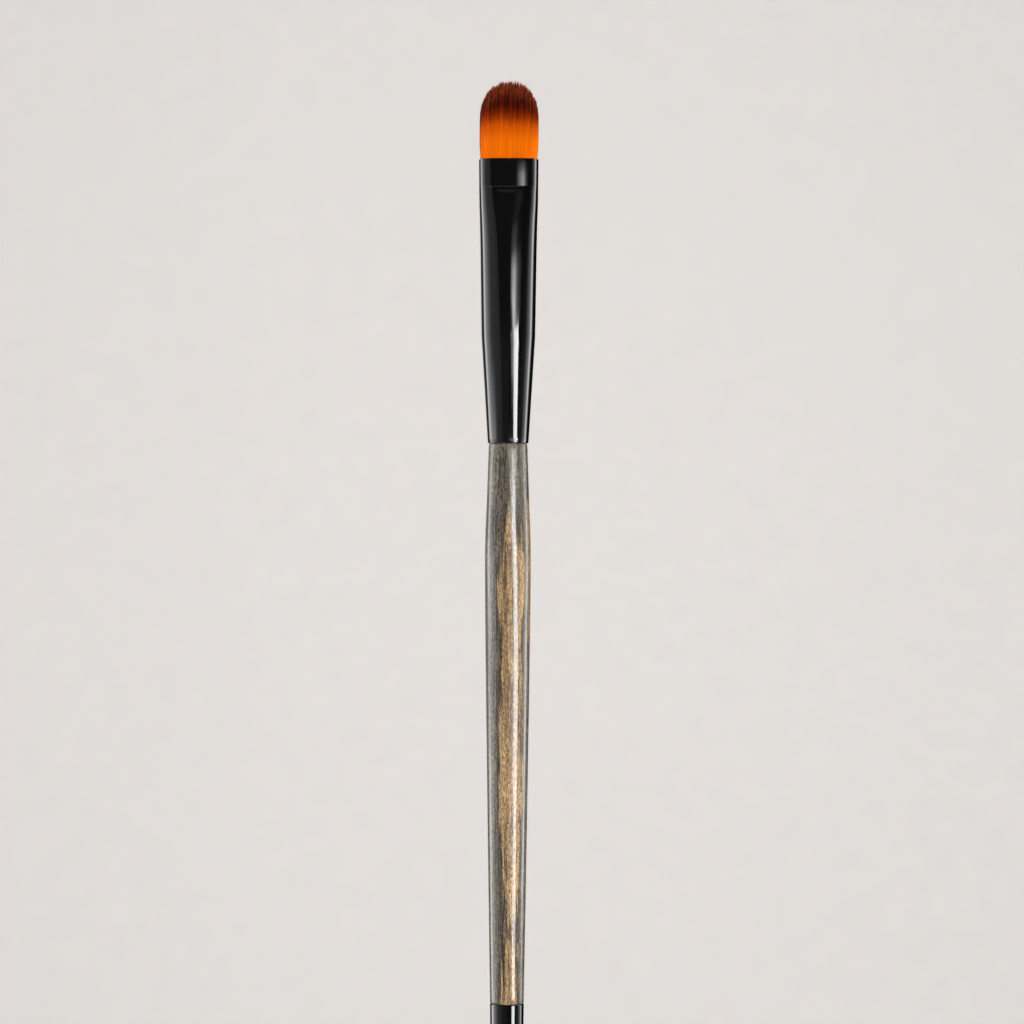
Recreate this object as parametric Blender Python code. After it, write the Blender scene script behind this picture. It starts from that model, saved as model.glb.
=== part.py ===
"""A slender makeup brush with a flat, round-topped head, modelled piece by piece.

The brush lies on its side. Its axis runs along Y with the bristles at +Y, the pressed flats of
the ferrule face up and down, and the widest round part of the ferrule stands on Z = 0. Places
along the brush are written from the ferrule's mouth, which lies at MOUTH_Y. Lengths are metres.
"""
import math
import random

import bmesh
import bpy
from mathutils import Vector

# Whole brush, from the tip of the bristles to the butt
HAIR_SHOWING = 0.0118
FERRULE_LENGTH = 0.0426
WOOD_SHOWING = 0.0839
CAP_LENGTH = 0.0300

# Clearance between pieces that seat on each other, and the facets of every round piece
SEAT_GAP = 0.00025
ROUND_SIDES = 28
SHARP_ANGLE = math.radians(35)

# Ferrule: a drawn tube, round from the base to the shoulder, then pressed flat to the mouth
FERRULE_BASE_DIAMETER = 0.0061
FERRULE_SHOULDER_DIAMETER = 0.0079
FERRULE_SHOULDER_RISE = 0.0148
FERRULE_MOUTH_WIDTH = 0.00893
FERRULE_MOUTH_THICKNESS = 0.0049
FERRULE_WALL = 0.0003
PRESSED_FLAT_LENGTH = 0.0041
LEDGE_HEIGHT = 0.00012
LEDGE_LENGTH = 0.0003
FLAT_WIDENING_SHARE = 0.91
# Shares of the way from ledge to shoulder, of the widening and of the thinning reached there
PRESS_SHARES = ((0.10, 0.85, 0.76), (0.22, 0.68, 0.42), (0.40, 0.47, 0.27), (0.60, 0.34, 0.18))

# Bristles: strands in rows and columns across the mouth, each with a pointed tip
STRAND_COLUMNS = 21
STRAND_ROWS = 8
TUFT_WIDTH = 0.00885
TUFT_FLARE_WIDTH = 0.00866
TUFT_THICKNESS = 0.0043
TUFT_TIP_THICKNESS = 0.0015
TUFT_DOME_HEIGHT = 0.0048
TUFT_EDGE_DROP = 0.0009
STRAND_SEAT_DEPTH = 0.0006
FLARE_HEIGHT = 0.0003
TIP_SCATTER = 0.0004
STRAND_ROOT_SHARE = 0.88
STRAND_WAIST_SHARE = 0.86
STRAND_WAIST_HEIGHT_SHARE = 0.80
TUFT_WEDGE_POWER = 1.4

# Roots: the packed ends of the strands, drawn in where the thread ties them
ROOT_DEPTH = 0.0140
TIE_TOP_DEPTH = 0.0080
TIE_TAPER_LENGTH = 0.0020
ROOT_FLARE = 0.0002

# Thread that ties the roots
THREAD_DIAMETER = 0.0004
THREAD_PITCH = 0.00085
THREAD_TURNS = 5
THREAD_POINTS_PER_TURN = 24

# Epoxy that pots the end of the roots
EPOXY_LENGTH = 0.0038
EPOXY_SOCKET_DEPTH = 0.0012

# Handle: a turned stick with a tenon at each end
HANDLE_NECK_DIAMETER = 0.0058
HANDLE_BELLY_DIAMETER = 0.00685
HANDLE_BELLY_DISTANCE = 0.0186
HANDLE_JOINT_DIAMETER = 0.00507
NECK_TO_BELLY_SHARES = ((0.25, 0.28), (0.50, 0.56), (0.72, 0.88), (0.87, 0.98))
BELLY_TO_JOINT_SHARES = ((0.08, 0.05), (0.25, 0.21), (0.55, 0.53))
FRONT_TENON_LENGTH = 0.0160
FRONT_TENON_END_DIAMETER = 0.0044
REAR_TENON_LENGTH = 0.0180
TENON_CHAMFER = 0.0005

# Adhesive that fills the taper between the front tenon and the ferrule
ADHESIVE_SETBACK = 0.0010
ADHESIVE_LENGTH = 0.0090

# End cap: a cup over the rear tenon, with a rounded butt
CAP_WALL = 0.0004
CAP_END_DIAMETER = 0.0044
CAP_DOME_LENGTH = 0.0018
CAP_BUTT_DIAMETER = 0.0020
CAP_DOME_STEPS = 4

# Places that follow from the sizes above
TOTAL_LENGTH = HAIR_SHOWING + FERRULE_LENGTH + WOOD_SHOWING + CAP_LENGTH
MOUTH_Y = TOTAL_LENGTH / 2 - HAIR_SHOWING
BASE_Y = MOUTH_Y - FERRULE_LENGTH
JOINT_Y = BASE_Y - WOOD_SHOWING
BUTT_Y = JOINT_Y - CAP_LENGTH
FACET_INNER_SHARE = math.cos(math.pi / ROUND_SIDES)
AXIS_HEIGHT = FERRULE_SHOULDER_DIAMETER / 2 * FACET_INNER_SHARE


def blend(start, end, share):
    """The value that lies a share of the way from start to end."""
    return start + (end - start) * share


def make_material(name, colour, roughness, metallic=0.0):
    """A Principled material for one sub-part."""
    material = bpy.data.materials.new(name)
    material.use_nodes = True
    shader = material.node_tree.nodes["Principled BSDF"]
    shader.inputs["Base Color"].default_value = (*colour, 1.0)
    shader.inputs["Roughness"].default_value = roughness
    shader.inputs["Metallic"].default_value = metallic
    material.diffuse_color = (*colour, 1.0)
    return material


def add_object(name, bm, material, axis):
    """Finish a bmesh as one named object, carried by the brush's axis."""
    bmesh.ops.recalc_face_normals(bm, faces=bm.faces)
    mesh = bpy.data.meshes.new(name)
    bm.to_mesh(mesh)
    bm.free()
    mesh.shade_smooth()
    mesh.set_sharp_from_angle(angle=SHARP_ANGLE)
    mesh.materials.append(material)
    made = bpy.data.objects.new(name, mesh)
    made.parent = axis
    bpy.context.collection.objects.link(made)
    return made


def ring_points(half_width, half_thickness, y):
    """One section across the axis: a circle, or two half circles joined by flats."""
    straight = half_width - half_thickness
    points = []
    for step in range(ROUND_SIDES):
        angle = math.tau * (step + 0.5) / ROUND_SIDES
        side = math.copysign(straight, math.cos(angle))
        across = side + half_thickness * math.cos(angle)
        points.append(Vector((across, y, half_thickness * math.sin(angle))))
    return points


def skin_rings(rings, closed_on_itself=False):
    """Bridge a row of sections into a body, capped at both ends or joined end to end."""
    bm = bmesh.new()
    loops = [[bm.verts.new(point) for point in points] for points in rings]
    pairs = list(zip(loops, loops[1:]))
    if closed_on_itself:
        pairs.append((loops[-1], loops[0]))
    else:
        bm.faces.new(loops[0])
        bm.faces.new(loops[-1])
    for loop, following in pairs:
        for here in range(ROUND_SIDES):
            ahead = (here + 1) % ROUND_SIDES
            bm.faces.new((loop[here], loop[ahead], following[ahead], following[here]))
    return bm


def ferrule_stations():
    """Half width and half thickness of the ferrule's outside, from the base to the mouth."""
    base = FERRULE_BASE_DIAMETER / 2
    shoulder = FERRULE_SHOULDER_DIAMETER / 2
    mouth_width = FERRULE_MOUTH_WIDTH / 2
    mouth_thickness = FERRULE_MOUTH_THICKNESS / 2
    shoulder_y = BASE_Y + FERRULE_SHOULDER_RISE
    flat_y = MOUTH_Y - PRESSED_FLAT_LENGTH
    ledge_y = flat_y - LEDGE_LENGTH
    flat_width = blend(shoulder, mouth_width, FLAT_WIDENING_SHARE)
    stations = [(MOUTH_Y, mouth_width, mouth_thickness),
                (flat_y, flat_width, mouth_thickness),
                (ledge_y, flat_width, mouth_thickness + LEDGE_HEIGHT)]
    for way, widening, thinning in PRESS_SHARES:
        stations.append((blend(ledge_y, shoulder_y, way),
                         blend(shoulder, mouth_width, widening),
                         blend(shoulder, mouth_thickness, thinning)))
    stations.append((shoulder_y, shoulder, shoulder))
    stations.append((BASE_Y, base, base))
    return stations[::-1]


def bore_section(y):
    """Half width and half thickness of the ferrule's bore at one place along it."""
    stations = ferrule_stations()
    for (low, low_a, low_b), (high, high_a, high_b) in zip(stations, stations[1:]):
        if y <= high:
            break
    share = (y - low) / (high - low)
    return (blend(low_a, high_a, share) - FERRULE_WALL,
            blend(low_b, high_b, share) - FERRULE_WALL)


def tightest_bore(low, high):
    """The smallest half width and half thickness of the bore between two places."""
    places = [low, high] + [y for y, _, _ in ferrule_stations() if low < y < high]
    sections = [bore_section(y) for y in places]
    return min(a for a, _ in sections), min(b for _, b in sections)


def build_ferrule(axis):
    """The drawn tube, open at both ends, with its pressed flats and their ledge."""
    stations = ferrule_stations()
    outside = [ring_points(a, b, y) for y, a, b in stations]
    inside = [ring_points(a - FERRULE_WALL, b - FERRULE_WALL, y) for y, a, b in stations]
    black = make_material("black_gloss_metal", (0.012, 0.012, 0.013), 0.12)
    bm = skin_rings(outside + inside[::-1], closed_on_itself=True)
    return add_object("ferrule", bm, black, axis)


def tie_section():
    """Half width and half thickness of the roots where the thread draws them in."""
    low = MOUTH_Y - ROOT_DEPTH
    high = MOUTH_Y - TIE_TOP_DEPTH
    a, b = tightest_bore(low, high)
    inset = 2 * SEAT_GAP + THREAD_DIAMETER
    return a - inset, b - inset


def root_stations():
    """Place, half width and half thickness of the packed roots, from the strands down."""
    top_y = MOUTH_Y - STRAND_SEAT_DEPTH
    mouth_a, mouth_b = tightest_bore(MOUTH_Y - PRESSED_FLAT_LENGTH, MOUTH_Y)
    tie_a, tie_b = tie_section()
    tie_y = MOUTH_Y - TIE_TOP_DEPTH
    end_y = MOUTH_Y - ROOT_DEPTH
    a, b = mouth_a - SEAT_GAP, mouth_b - SEAT_GAP
    return [(top_y, a, b),
            (tie_y + TIE_TAPER_LENGTH, a, b),
            (tie_y, tie_a, tie_b),
            (end_y + TIE_TAPER_LENGTH / 2, tie_a, tie_b),
            (end_y, tie_a + ROOT_FLARE, tie_b + ROOT_FLARE)]


def packed_place(across, through, half_width, half_thickness):
    """Map a place on a square, each way from -1 to 1, onto a section with round ends."""
    straight = half_width - half_thickness
    reach = abs(across) * half_width - straight
    if reach <= 0:
        return across * half_width, through * half_thickness
    round_share = reach / half_thickness
    x = straight + reach * math.sqrt(1 - through ** 2 / 2)
    z = half_thickness * through * math.sqrt(1 - round_share ** 2 / 2)
    return math.copysign(x, across), z


def strand_top(across, through):
    """Height over the mouth of the tip of a strand, for the dome of the head."""
    dome = 1 - math.sqrt(max(0, 1 - across ** 2))
    edge = 1 - math.sqrt(max(0, 1 - through ** 2))
    return HAIR_SHOWING - TUFT_DOME_HEIGHT * dome - TUFT_EDGE_DROP * edge


def strand_place(home, height):
    """Where a strand that starts at its home on the cells is at a height over the mouth."""
    _, half_width, half_thickness = root_stations()[0]
    x, z = packed_place(home.x, home.z, half_width, half_thickness)
    width = TUFT_FLARE_WIDTH if height <= FLARE_HEIGHT else TUFT_WIDTH
    share = (height - FLARE_HEIGHT) / (HAIR_SHOWING - FLARE_HEIGHT)
    wedge_share = max(0, share) ** TUFT_WEDGE_POWER
    thickness = blend(TUFT_THICKNESS, TUFT_TIP_THICKNESS, wedge_share)
    widening = width / 2 / half_width
    thinning = thickness / 2 / half_thickness
    return Vector((x * widening, MOUTH_Y + height, z * thinning))


def make_cells(bm, home):
    """The top of the roots: triangular cells over the section, one for each strand."""
    bmesh.ops.create_grid(bm, x_segments=STRAND_COLUMNS, y_segments=STRAND_ROWS, size=1)
    for face in list(bm.faces):
        outward = Vector([math.copysign(1, part) for part in face.calc_center_median().xy])
        inner_to_outer = sorted(face.verts, key=lambda vert: vert.co.xy.dot(outward))
        bmesh.utils.face_split(face, inner_to_outer[0], inner_to_outer[-1])
    top_y, half_width, half_thickness = root_stations()[0]
    for vert in bm.verts:
        across, through, _ = vert.co
        vert[home] = (across, 0, through)
        x, z = packed_place(across, through, half_width, half_thickness)
        vert.co = (x, top_y, z)
    return list(bm.faces)


def draw_roots(bm, home):
    """Draw the outline of the cells down through the ferrule, in at the tie, and cap it."""
    rim = [edge for edge in bm.edges if edge.is_boundary]
    for y, half_width, half_thickness in root_stations()[1:]:
        drawn = bmesh.ops.extrude_edge_only(bm, edges=rim)["geom"]
        rim = [item for item in drawn if isinstance(item, bmesh.types.BMEdge) and item.is_boundary]
        for vert in {vert for edge in rim for vert in edge.verts}:
            x, z = packed_place(vert[home].x, vert[home].z, half_width, half_thickness)
            vert.co = (x, y, z)
    bmesh.ops.contextual_create(bm, geom=rim)


def raise_strands(bm, home, number, cells):
    """Draw every cell up as a strand: seat, flare, waist, then a point."""
    rng = random.Random(11)
    drops = []
    for cell in cells:
        cell[number] = len(drops)
        drops.append(TIP_SCATTER * rng.random())

    seats = bmesh.ops.extrude_discrete_faces(bm, faces=cells)["faces"]
    for seat in seats:
        middle = seat.calc_center_median()
        for vert in seat.verts:
            vert.co = middle.lerp(vert.co, STRAND_ROOT_SHARE)

    flares = bmesh.ops.extrude_discrete_faces(bm, faces=seats)["faces"]
    for flare in flares:
        middle = sum((vert[home] for vert in flare.verts), Vector()) / len(flare.verts)
        for vert in flare.verts:
            vert.co = strand_place(middle.lerp(vert[home], STRAND_ROOT_SHARE), FLARE_HEIGHT)

    waists = bmesh.ops.extrude_discrete_faces(bm, faces=flares)["faces"]
    for waist in waists:
        middle = sum((vert[home] for vert in waist.verts), Vector()) / len(waist.verts)
        height = (strand_top(middle.x, middle.z) - drops[waist[number]]) * STRAND_WAIST_HEIGHT_SHARE
        for vert in waist.verts:
            vert.co = strand_place(middle.lerp(vert[home], STRAND_WAIST_SHARE), height)

    for tip in bmesh.ops.poke(bm, faces=waists)["verts"]:
        corners = [edge.other_vert(tip)[home] for edge in tip.link_edges]
        middle = sum(corners, Vector()) / len(corners)
        drop = drops[tip.link_faces[0][number]]
        tip.co = strand_place(middle, strand_top(middle.x, middle.z) - drop)


def build_tuft(axis):
    """The bristles, rising as separate strands from the packed block of their roots."""
    bm = bmesh.new()
    home = bm.verts.layers.float_vector.new("home")
    number = bm.faces.layers.int.new("strand")
    cells = make_cells(bm, home)
    draw_roots(bm, home)
    raise_strands(bm, home, number, cells)
    orange = make_material("orange_filament", (0.78, 0.23, 0.02), 0.35)
    return add_object("bristle_tuft", bm, orange, axis)


def thread_route():
    """Points along the thread, a spiral that follows the outline of the roots."""
    tie_a, tie_b = tie_section()
    offset = SEAT_GAP + THREAD_DIAMETER / 2
    straight = tie_a - tie_b
    radius = tie_b + offset
    wound_length = THREAD_PITCH * THREAD_TURNS
    tie_middle = MOUTH_Y - (TIE_TOP_DEPTH + ROOT_DEPTH - TIE_TAPER_LENGTH / 2) / 2
    points = []
    for step in range(THREAD_TURNS * THREAD_POINTS_PER_TURN + 1):
        turn = (step + 0.5) / THREAD_POINTS_PER_TURN
        angle = math.tau * turn
        x = math.copysign(straight, math.cos(angle)) + radius * math.cos(angle)
        y = tie_middle - wound_length / 2 + THREAD_PITCH * turn
        points.append(Vector((x, y, radius * math.sin(angle))))
    return points


def report_thread_gap(points):
    """Print the least gap between the turns of the thread, measured on its points."""
    skip = THREAD_POINTS_PER_TURN // 2
    gap = min((points[i] - points[j]).length
              for i in range(len(points)) for j in range(i + skip, len(points)))
    print(f"binding_thread least gap between turns: {(gap - THREAD_DIAMETER) * 1000:.3f} mm")


def build_thread(axis):
    """The thread, one unbroken tube wound round the roots."""
    points = thread_route()
    report_thread_gap(points)
    curve = bpy.data.curves.new("binding_thread", "CURVE")
    curve.dimensions = "3D"
    curve.bevel_depth = THREAD_DIAMETER / 2
    curve.bevel_resolution = 1
    curve.use_fill_caps = True
    spline = curve.splines.new("POLY")
    spline.points.add(len(points) - 1)
    for point, place in zip(spline.points, points):
        point.co = (*place, 1)
    curve.materials.append(make_material("white_thread", (0.75, 0.73, 0.68), 0.8))
    made = bpy.data.objects.new("binding_thread", curve)
    made.parent = axis
    bpy.context.collection.objects.link(made)
    return made


def build_epoxy(axis):
    """The potting under the roots, with a socket that the end of the roots stands in."""
    tie_a, tie_b = tie_section()
    socket_a = tie_a + ROOT_FLARE + SEAT_GAP
    socket_b = tie_b + ROOT_FLARE + SEAT_GAP
    floor_y = MOUTH_Y - ROOT_DEPTH - SEAT_GAP
    top_y = floor_y + EPOXY_SOCKET_DEPTH
    bottom_y = top_y - EPOXY_LENGTH
    a, b = tightest_bore(bottom_y, top_y)
    a, b = a - SEAT_GAP, b - SEAT_GAP
    rings = [ring_points(a, b, bottom_y), ring_points(a, b, top_y),
             ring_points(socket_a, socket_b, top_y), ring_points(socket_a, socket_b, floor_y)]
    amber = make_material("amber_epoxy", (0.62, 0.42, 0.16), 0.3)
    return add_object("root_epoxy", skin_rings(rings), amber, axis)


def tenon_radius(y):
    """Radius of the handle's front tenon, which narrows towards its end."""
    bore, _ = bore_section(BASE_Y)
    return blend(bore - SEAT_GAP, FRONT_TENON_END_DIAMETER / 2, (y - BASE_Y) / FRONT_TENON_LENGTH)


def build_adhesive(axis):
    """The collar of adhesive that fills the ferrule's taper round the front tenon."""
    end = BASE_Y + FRONT_TENON_LENGTH - ADHESIVE_SETBACK
    start = end - ADHESIVE_LENGTH
    places = [start] + [y for y, _, _ in ferrule_stations() if start < y < end] + [end]
    outside = []
    inside = []
    for y in places:
        outer = bore_section(y)[1] - SEAT_GAP
        inner = tenon_radius(y) + SEAT_GAP
        outside.append(ring_points(outer, outer, y))
        inside.append(ring_points(inner, inner, y))
    cream = make_material("cream_adhesive", (0.70, 0.62, 0.42), 0.5)
    bm = skin_rings(outside + inside[::-1], closed_on_itself=True)
    return add_object("handle_adhesive", bm, cream, axis)


def cap_radius(y):
    """Outer radius of the straight taper of the end cap."""
    share = (JOINT_Y - y) / (CAP_LENGTH - CAP_DOME_LENGTH)
    return blend(HANDLE_JOINT_DIAMETER, CAP_END_DIAMETER, share) / 2


def handle_profile():
    """Place and radius along the handle, from the front tenon's end to the rear one's."""
    neck = HANDLE_NECK_DIAMETER / 2
    belly = HANDLE_BELLY_DIAMETER / 2
    joint = HANDLE_JOINT_DIAMETER / 2
    neck_y = BASE_Y - SEAT_GAP
    belly_y = BASE_Y - HANDLE_BELLY_DISTANCE
    front_end = BASE_Y + FRONT_TENON_LENGTH
    front_chamfer = front_end - TENON_CHAMFER
    profile = [(front_end, tenon_radius(front_end) - TENON_CHAMFER),
               (front_chamfer, tenon_radius(front_chamfer)),
               (neck_y, tenon_radius(BASE_Y)),
               (neck_y, neck)]
    for way, swelling in NECK_TO_BELLY_SHARES:
        profile.append((blend(neck_y, belly_y, way), blend(neck, belly, swelling)))
    profile.append((belly_y, belly))
    for way, narrowing in BELLY_TO_JOINT_SHARES:
        profile.append((blend(belly_y, JOINT_Y, way), blend(belly, joint, narrowing)))
    rear_end = JOINT_Y - REAR_TENON_LENGTH
    rear_chamfer = rear_end + TENON_CHAMFER
    clearance = CAP_WALL + SEAT_GAP
    profile += [(JOINT_Y, joint),
                (JOINT_Y, cap_radius(JOINT_Y) - clearance),
                (rear_chamfer, cap_radius(rear_chamfer) - clearance),
                (rear_end, cap_radius(rear_end) - clearance - TENON_CHAMFER)]
    return profile


def build_handle(axis):
    """The turned stick, with its two tenons."""
    rings = [ring_points(radius, radius, y) for y, radius in handle_profile()]
    grey = make_material("grey_stained_wood", (0.21, 0.165, 0.12), 0.3)
    return add_object("handle", skin_rings(rings), grey, axis)


def build_end_cap(axis):
    """The cup that closes the butt, with a rounded end and a small flat."""
    mouth_y = JOINT_Y - SEAT_GAP
    floor_y = JOINT_Y - REAR_TENON_LENGTH - SEAT_GAP
    dome_y = BUTT_Y + CAP_DOME_LENGTH
    butt = CAP_BUTT_DIAMETER / 2
    outside = [(mouth_y, cap_radius(mouth_y))]
    for step in range(CAP_DOME_STEPS + 1):
        angle = math.pi / 2 * step / CAP_DOME_STEPS
        radius = blend(butt, cap_radius(dome_y), math.cos(angle))
        outside.append((dome_y - CAP_DOME_LENGTH * math.sin(angle), radius))
    bore = [(floor_y, cap_radius(floor_y) - CAP_WALL), (mouth_y, cap_radius(mouth_y) - CAP_WALL)]
    rings = [ring_points(radius, radius, y) for y, radius in bore + outside]
    black = make_material("black_gloss_cap", (0.012, 0.012, 0.013), 0.15)
    return add_object("end_cap", skin_rings(rings), black, axis)


def main():
    """Empty the scene and build every piece on the brush's axis."""
    for old in list(bpy.data.objects):
        bpy.data.objects.remove(old, do_unlink=True)
    axis = bpy.data.objects.new("brush_axis", None)
    axis.location = (0, 0, AXIS_HEIGHT)
    bpy.context.collection.objects.link(axis)
    for build in (build_tuft, build_thread, build_epoxy, build_ferrule, build_adhesive,
                  build_handle, build_end_cap):
        build(axis)


main()
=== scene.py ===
"""Looks of a slender makeup brush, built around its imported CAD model.

The brush lies along Y with its bristles at +Y, and its axis runs AXIS_HEIGHT above Z = 0. The
camera looks straight down on it, as in the photograph. Lengths are metres, except where a comment
says millimetres.
"""

import math
import random

import bmesh
import bpy
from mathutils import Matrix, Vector, noise


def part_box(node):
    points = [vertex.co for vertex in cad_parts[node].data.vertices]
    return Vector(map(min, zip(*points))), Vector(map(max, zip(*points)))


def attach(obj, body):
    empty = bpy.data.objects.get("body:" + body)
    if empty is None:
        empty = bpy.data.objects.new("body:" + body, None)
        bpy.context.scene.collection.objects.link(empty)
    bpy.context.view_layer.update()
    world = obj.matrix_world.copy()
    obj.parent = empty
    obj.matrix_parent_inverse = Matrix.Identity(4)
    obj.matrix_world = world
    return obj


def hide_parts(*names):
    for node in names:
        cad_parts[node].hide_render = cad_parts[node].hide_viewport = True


bl_info = {
    "name": "Makeup brush",
    "version": (1, 0, 0),
    "blender": (4, 5, 0),
    "location": "View3D > Sidebar > Brush",
    "description": "Builds a slender makeup brush and the studio that it is photographed in",
    "category": "Add Mesh",
}

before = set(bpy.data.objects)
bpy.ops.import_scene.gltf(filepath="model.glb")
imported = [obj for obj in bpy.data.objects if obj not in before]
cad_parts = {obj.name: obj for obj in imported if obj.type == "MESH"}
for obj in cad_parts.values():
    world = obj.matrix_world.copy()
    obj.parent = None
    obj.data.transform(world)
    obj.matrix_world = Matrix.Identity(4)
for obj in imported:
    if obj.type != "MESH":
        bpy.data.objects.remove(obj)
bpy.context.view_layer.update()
MM = 0.001

# Places that the CAD model gives
FERRULE_LOW, FERRULE_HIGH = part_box("ferrule")
HANDLE_LOW, HANDLE_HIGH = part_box("handle")
CAP_LOW, CAP_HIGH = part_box("end_cap")
_, TUFT_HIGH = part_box("bristle_tuft")
AXIS_HEIGHT = (FERRULE_LOW.z + FERRULE_HIGH.z) / 2
MOUTH_Y = FERRULE_HIGH.y
BASE_Y = FERRULE_LOW.y
HEAD_HEIGHT = TUFT_HIGH.y - MOUTH_Y

# The wood meets the cap within the clearance of their CAD solids. Hairline seams are left below
# the ferrule's base and on both sides of the wood's joint with the cap.
JOINT_Y = CAP_HIGH.y + 0.25 * MM
NECK_SEAM = 0.04 * MM
WOOD_SEAM = 0.02 * MM
CAP_SEAM = 0.05 * MM

# Ferrule's outside in millimetres: distance below the mouth, half width, half thickness
FERRULE_STATIONS = [[part * MM for part in row] for row in (
    (0, 4.475, 2.425), (2, 4.455, 2.45), (4.12, 4.435, 2.45), (4.3, 4.435, 2.57),
    (5, 4.425, 2.745), (6.74, 4.4, 2.925), (9.55, 4.31, 3.3), (13.76, 4.22, 3.545),
    (18.44, 4.15, 3.68), (23.5, 4.08, 3.804), (26.6, 4.02, 3.841), (28.6, 3.9, 3.8),
    (31.6, 3.72, 3.69), (36.1, 3.445, 3.445), (40.6, 3.175, 3.175), (42.6, 3.05, 3.05))]
FERRULE_STEPS = 64
FERRULE_SIDES = 112

# The ledge at the end of the pressed flat, which has steps of its own
LEDGE_DOWN = 4.06 * MM
LEDGE_LENGTH = 0.32 * MM
LEDGE_STEPS = 10

# How much the pressed faces are crowned, on the flat and on the body, and where one turns into
# the other
FLAT_CROWN = math.radians(2.2)
BODY_CROWN = math.radians(5)
FLAT_LENGTH = 4.3 * MM
BLEND_LENGTH = 5.2 * MM
# The long edges of a pressed tube crowd towards its crowned faces by this power
CROWDING = 1.5

# The wall is thinned at the mouth, to this share over this length
MOUTH_WALL_SHARE = 0.55
MOUTH_TAPER = 1.0 * MM

# Handle between the ferrule and the cap: share of the length, share of the swelling
NECK_TO_BELLY = [(0, 0), (0.25, 0.28), (0.50, 0.56), (0.72, 0.88), (0.87, 0.98), (1, 1)]
BELLY_TO_JOINT = [(0, 0), (0.08, 0.04), (0.25, 0.18), (0.55, 0.49), (1, 1)]
NECK_STEPS = 36
BELLY_STEPS = 60
TURNED_SIDES = 96
WOOD_EDGE = 0.12 * MM

# Radii of the tenons at the tip, behind its chamfer and at the shoulder
FRONT_TENON = (1.75 * MM, 2.20 * MM, 2.50 * MM)
REAR_TENON = (1.14 * MM, 1.64 * MM, 1.87 * MM)
TENON_CHAMFER = 0.5 * MM

# End cap: its wall, the floor of its bore, and its round butt with a flat at the end
CAP_WALL = 0.4 * MM
CAP_FLOOR_RADIUS = 1.75 * MM
CAP_FLOOR_GAP = 0.25 * MM
CAP_BORE_EDGE = 0.2 * MM
CAP_OUTER_EDGE = 0.12 * MM
CAP_STEPS = 20
BUTT_LENGTH = 1.8 * MM
BUTT_RADIUS = 1.0 * MM
BUTT_STEPS = 12

# Tied roots of the bristles, by the same three measures
ROOT_STATIONS = [[part * MM for part in row] for row in (
    (0.6, 3.9, 1.9), (6, 3.88, 1.9), (8, 3.31, 2.23), (13, 3.31, 2.23), (14, 3.51, 2.43))]
ROOT_SIDES = 48

# Bristles: seeds of their places and of each half's shapes, then one from its foot to its tip:
# share of its length, share of its radius
PLACE_SEED = 5
HALF_SEEDS = (20, 21)
STRAND_RINGS = [(0, 0.90), (0.03, 0.95), (0.07, 1.0), (0.36, 1.0), (0.62, 0.92), (0.82, 0.66),
                (0.94, 0.40), (1.0, 0.16)]
STRAND_SIDES = 5
# Its foot stands below the mouth, and is out of place by up to this share of the spacing
FOOT_DEPTH = 0.8 * MM
PLACE_SCATTER = 0.3

# Bristles clump where they were set together and take the dye in streaks: size of a clump and a
# streak across the head and through it, and which slice of the noise each one reads
CLUMP = (0.13 * MM, 2.4 * MM, 3.7)
STREAK = (0.23 * MM, 0.5 * MM, 9.1)

# Tips: rise over the CAD model's, power of the dome, drop at the front and the back, rise of a
# clump, and how far and how rarely a tip falls short
TIP_RISE = 0.06 * MM
DOME_POWER = 1.06
EDGE_DROP = 2.0 * MM
CLUMP_RISE = 0.45 * MM
TIP_SHORTFALL = 0.95 * MM
SHORTFALL_POWER = 2.2

# The head leans to the right of the axis: its shift, the share of it at the foot, and how that
# grows towards the tip. Each bristle also leans with its clump and by itself.
HEAD_SHIFT = 0.06 * MM
HEAD_SHIFT_AT_FOOT = 0.5
HEAD_SHIFT_GAIN = 1.6
CLUMP_LEAN = 0.06 * MM
STRAND_LEAN = 0.05 * MM

# The ferrule pinches the head to these shares of its width and its thickness. Going up it frees
# itself, bellies a little, and thins to a wedge.
PINCH_DEPTH = 0.7 * MM
PINCH_LENGTH = 0.9 * MM
PINCHED_WIDTH = 0.935
PINCHED_THICKNESS = 0.90
HEAD_BELLY = 0.012
HEAD_BELLY_SPEED = 1.2
WEDGE_POWER = 1.4

# Dye: how far each bristle's tone follows its streak and its own chance, and how much deeper it
# was dipped by chance, towards the sides of the head and by its streak
TONE_STREAK = 2.6
TONE_SCATTER = 0.3
DIP_SCATTER = 0.4 * MM
DIP_DOME = 0.8 * MM
DIP_STREAK = 1.2 * MM

# Painted light through the finest tips: length of the pale end of a bristle in the middle of
# the head, what it gains at the sides, and how pale the darkest bristles still turn
PALE_LENGTH = 0.4 * MM
PALE_LENGTH_GAIN = 0.5 * MM
LEAST_PALE = 0.35

# Colour along a bristle: height over the mouth in millimetres, colour
BRISTLE_DYE = [
    (0.0, "#FB7A02"), (2.5, "#FD7F02"), (4.1, "#E96C02"), (4.9, "#DE6002"), (6.4, "#973002"),
    (7.9, "#561103"), (8.6, "#471009"), (10.1, "#601F12"), (11.8, "#6E2817"),
]

# Veneers of the handle, in millimetres from its axis by the place along it. Their planes are
# turned round the axis by VENEER_TURN. The grey one reaches this far out of the middle plane.
VENEER_TURN = math.radians(-11)
GREY_REACH = [
    (-54.1, 2.20), (-50, 2.28), (-47, 2.44), (-43, 2.68), (-41, 2.70), (-36, 2.66),
    (-27, 2.57), (-18, 2.56), (0, 2.94), (6, 2.74), (11, 2.94), (14.5, 3.20), (22, 3.36),
    (29.7, 3.22),
]
# It reaches this far to the right, where the turning cuts the next tan one
GREY_SIDE_REACH = [
    (-10, 4.0), (-7, 3.3), (-1, 2.8), (6, 2.5), (14, 2.2), (18, 2.3), (22, 2.75), (29.7, 2.8),
]
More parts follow.
